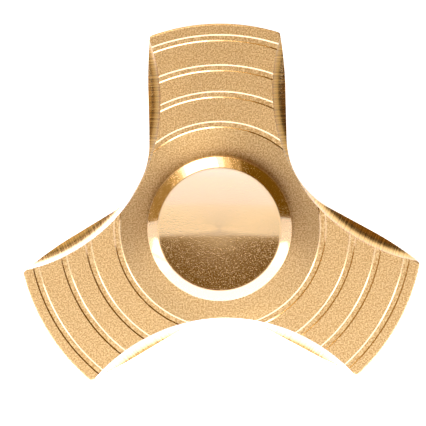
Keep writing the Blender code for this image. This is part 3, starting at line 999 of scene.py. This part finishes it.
def softbox(name, towards, near, far, across, radiance, tint):
    """An area light in direction towards that faces the spinner from between near and far off straight up."""
    light = bpy.data.lights.new(name, "AREA")
    light.shape = "RECTANGLE"
    deep = 2 * SOFTBOX_DISTANCE * math.tan((far - near) / 2)
    light.size, light.size_y = across, deep
    light.energy = radiance * math.pi * across * deep
    light.color = tint
    obj = bpy.data.objects.new(name, light)
    lean = (near + far) / 2
    flat = math.sin(lean)
    away = Vector((flat * math.cos(towards), flat * math.sin(towards), math.cos(lean)))
    side = Vector((-math.sin(towards), math.cos(towards), 0.0))
    turn = Matrix((side, away.cross(side), away)).transposed()
    obj.matrix_world = Matrix.Translation(away * SOFTBOX_DISTANCE) @ turn.to_4x4()
    bpy.context.scene.collection.objects.link(obj)


def place_camera(studio, face):
    """Looks down on the rotor's face, a little from behind, with the spinner turned in the picture."""
    camera = bpy.data.cameras.new("camera")
    camera.sensor_width = 36.0
    camera.lens = camera.sensor_width * studio.distance / studio.frame_width
    camera.clip_start = 0.01
    camera.clip_end = 20.0
    obj = bpy.data.objects.new("camera", camera)
    flat = math.sin(studio.tilt)
    away = Vector((
        flat * math.cos(studio.tilt_towards), flat * math.sin(studio.tilt_towards), math.cos(studio.tilt),
    ))
    up = Vector((math.sin(studio.roll), math.cos(studio.roll), 0.0))
    across = up.cross(away).normalized()
    turn = Matrix((across, away.cross(across), away)).transposed()
    place = Vector((*studio.aim, face)) + away * studio.distance
    obj.matrix_world = Matrix.Translation(place) @ turn.to_4x4()
    bpy.context.scene.collection.objects.link(obj)
    bpy.context.scene.camera = obj


def room(studio):
    """A dim warm room for the metal to reflect, and a pale wall where the camera looks past the floor."""
    world = bpy.data.worlds.new("room")
    world.use_nodes = True
    tree = world.node_tree
    tree.nodes.clear()
    level = studio.ambient
    dim = add_node(tree, "ShaderNodeBackground", {}, {"Color": (level, level * 0.5, level * 0.02, 1.0)})
    pale = add_node(tree, "ShaderNodeBackground", {}, {"Color": (1.0, 1.0, 1.0, 1.0)})
    seen = add_node(tree, "ShaderNodeLightPath").outputs["Is Camera Ray"]
    mixed = add_node(tree, "ShaderNodeMixShader", {}, {0: seen, 1: dim.outputs[0], 2: pale.outputs[0]})
    add_node(tree, "ShaderNodeOutputWorld", {}, {"Surface": mixed.outputs[0]})
    bpy.context.scene.world = world


class SPINNER_OT_studio(bpy.types.Operator):
    """Pale floor, softboxes, a dim room and the camera"""

    bl_idname = "spinner.studio"
    bl_label = "Studio"

    def execute(self, context):
        scene = context.scene
        studio = scene.spinner_studio
        bm = bmesh.new()
        bmesh.ops.create_grid(bm, x_segments=8, y_segments=8, size=3.0)
        bmesh.ops.translate(bm, verts=bm.verts, vec=(0, 0, CAD_BOX[0][2]))
        floor = make_object("floor", bm, pale_card(scene.spinner_finishes))
        # each light: its direction and the angles off straight up that it spans, in degrees, its width,
        # its radiance and its tint
        for name, towards, near, far, across, radiance, tint in (
            ("overhead_strip_1", 268.5, 3.5, 9, 0.44, studio.overhead, (1.02, 1.0, 0.97)),
            ("overhead_strip_2", 268.5, 9, 14, 0.7, studio.overhead, (1.03, 1.12, 1.5)),
            ("overhead_strip_3", 268.5, 14, 20, 1.0, studio.overhead, (1.05, 1.18, 1.95)),
            ("upper_softbox", 267, 20, 38, 2.2, studio.upper, (1.0, 1.0, 0.97)),
            ("front_softbox", 270, 39, 84, 3.0, studio.front, (0.9, 1.0, 1.15)),
            ("side_softbox_right", 341, 40, 70, 0.5, 1.0, (1.0, 1.0, 1.1)),
            ("side_softbox_left", 199, 40, 70, 0.5, 1.0, (1.0, 1.0, 1.1)),
            ("kicker_softbox", 108, 36, 62, 0.34, studio.kicker, (1.0, 1.0, 1.0)),
            ("kicker_halo_1", 107, 35, 63, 0.45, 1.2, (1.0, 1.0, 1.1)),
            ("kicker_halo_2", 106, 34, 64, 0.58, 0.6, (1.0, 0.85, 0.6)),
            ("kicker_halo_3", 105, 32, 66, 0.8, 0.45, (1.0, 0.75, 0.4)),
            ("back_fill", 157, 31.6, 66.4, 0.5, 0.22, (1.0, 0.7, 0.3)),
            ("rear_fill", 128, 67, 88, 0.8, 0.9, (1.0, 1.05, 1.1)),
            ("low_fill_left", 174, 67, 88, 0.5, 0.6, (1.0, 0.9, 0.75)),
            ("low_fill_right", 50, 67, 88, 0.9, 0.18, (1.0, 0.65, 0.25)),
        ):
            band = tuple(math.radians(degrees) for degrees in (towards, near, far))
            softbox(name, *band, across, radiance, tint)
        room(studio)
        place_camera(studio, scene.spinner_rotor.face)
        scene.view_settings.view_transform = "Standard"
        scene.view_settings.look = "None"
        return {"FINISHED"}


class SPINNER_PT_panel(bpy.types.Panel):
    bl_label = "Fidget spinner"
    bl_idname = "SPINNER_PT_panel"
    bl_space_type = "VIEW_3D"
    bl_region_type = "UI"
    bl_category = "Spinner"

    def draw(self, context):
        for group in GROUPS:
            box = self.layout.box()
            settings = getattr(context.scene, group)
            box.label(text=group.replace("_", " ").capitalize())
            for name in type(settings).__annotations__:
                box.prop(settings, name)
        for operator in OPERATORS:
            self.layout.operator(operator.bl_idname)


GROUPS = {
    "spinner_rotor": RotorSizes,
    "spinner_caps": CapSizes,
    "spinner_bearing": BearingSizes,
    "spinner_stud": StudSizes,
    "spinner_finishes": Finishes,
    "spinner_studio": StudioSettings,
}
OPERATORS = (
    SPINNER_OT_rotor, SPINNER_OT_caps, SPINNER_OT_rings, SPINNER_OT_balls, SPINNER_OT_cage,
    SPINNER_OT_shields, SPINNER_OT_axle, SPINNER_OT_studio,
)


def register():
    for cls in (*GROUPS.values(), *OPERATORS, SPINNER_PT_panel):
        bpy.utils.register_class(cls)
    for name, group in GROUPS.items():
        setattr(bpy.types.Scene, name, PointerProperty(type=group))


def unregister():
    for name in GROUPS:
        delattr(bpy.types.Scene, name)
    for cls in reversed((*GROUPS.values(), *OPERATORS, SPINNER_PT_panel)):
        bpy.utils.unregister_class(cls)


def main():
    register()
    bpy.ops.spinner.rotor()
    bpy.ops.spinner.caps()
    bpy.ops.spinner.rings()
    bpy.ops.spinner.balls()
    bpy.ops.spinner.cage()
    bpy.ops.spinner.shields()
    bpy.ops.spinner.axle()
    bpy.ops.spinner.studio()


if __name__ == "__main__":
    main()
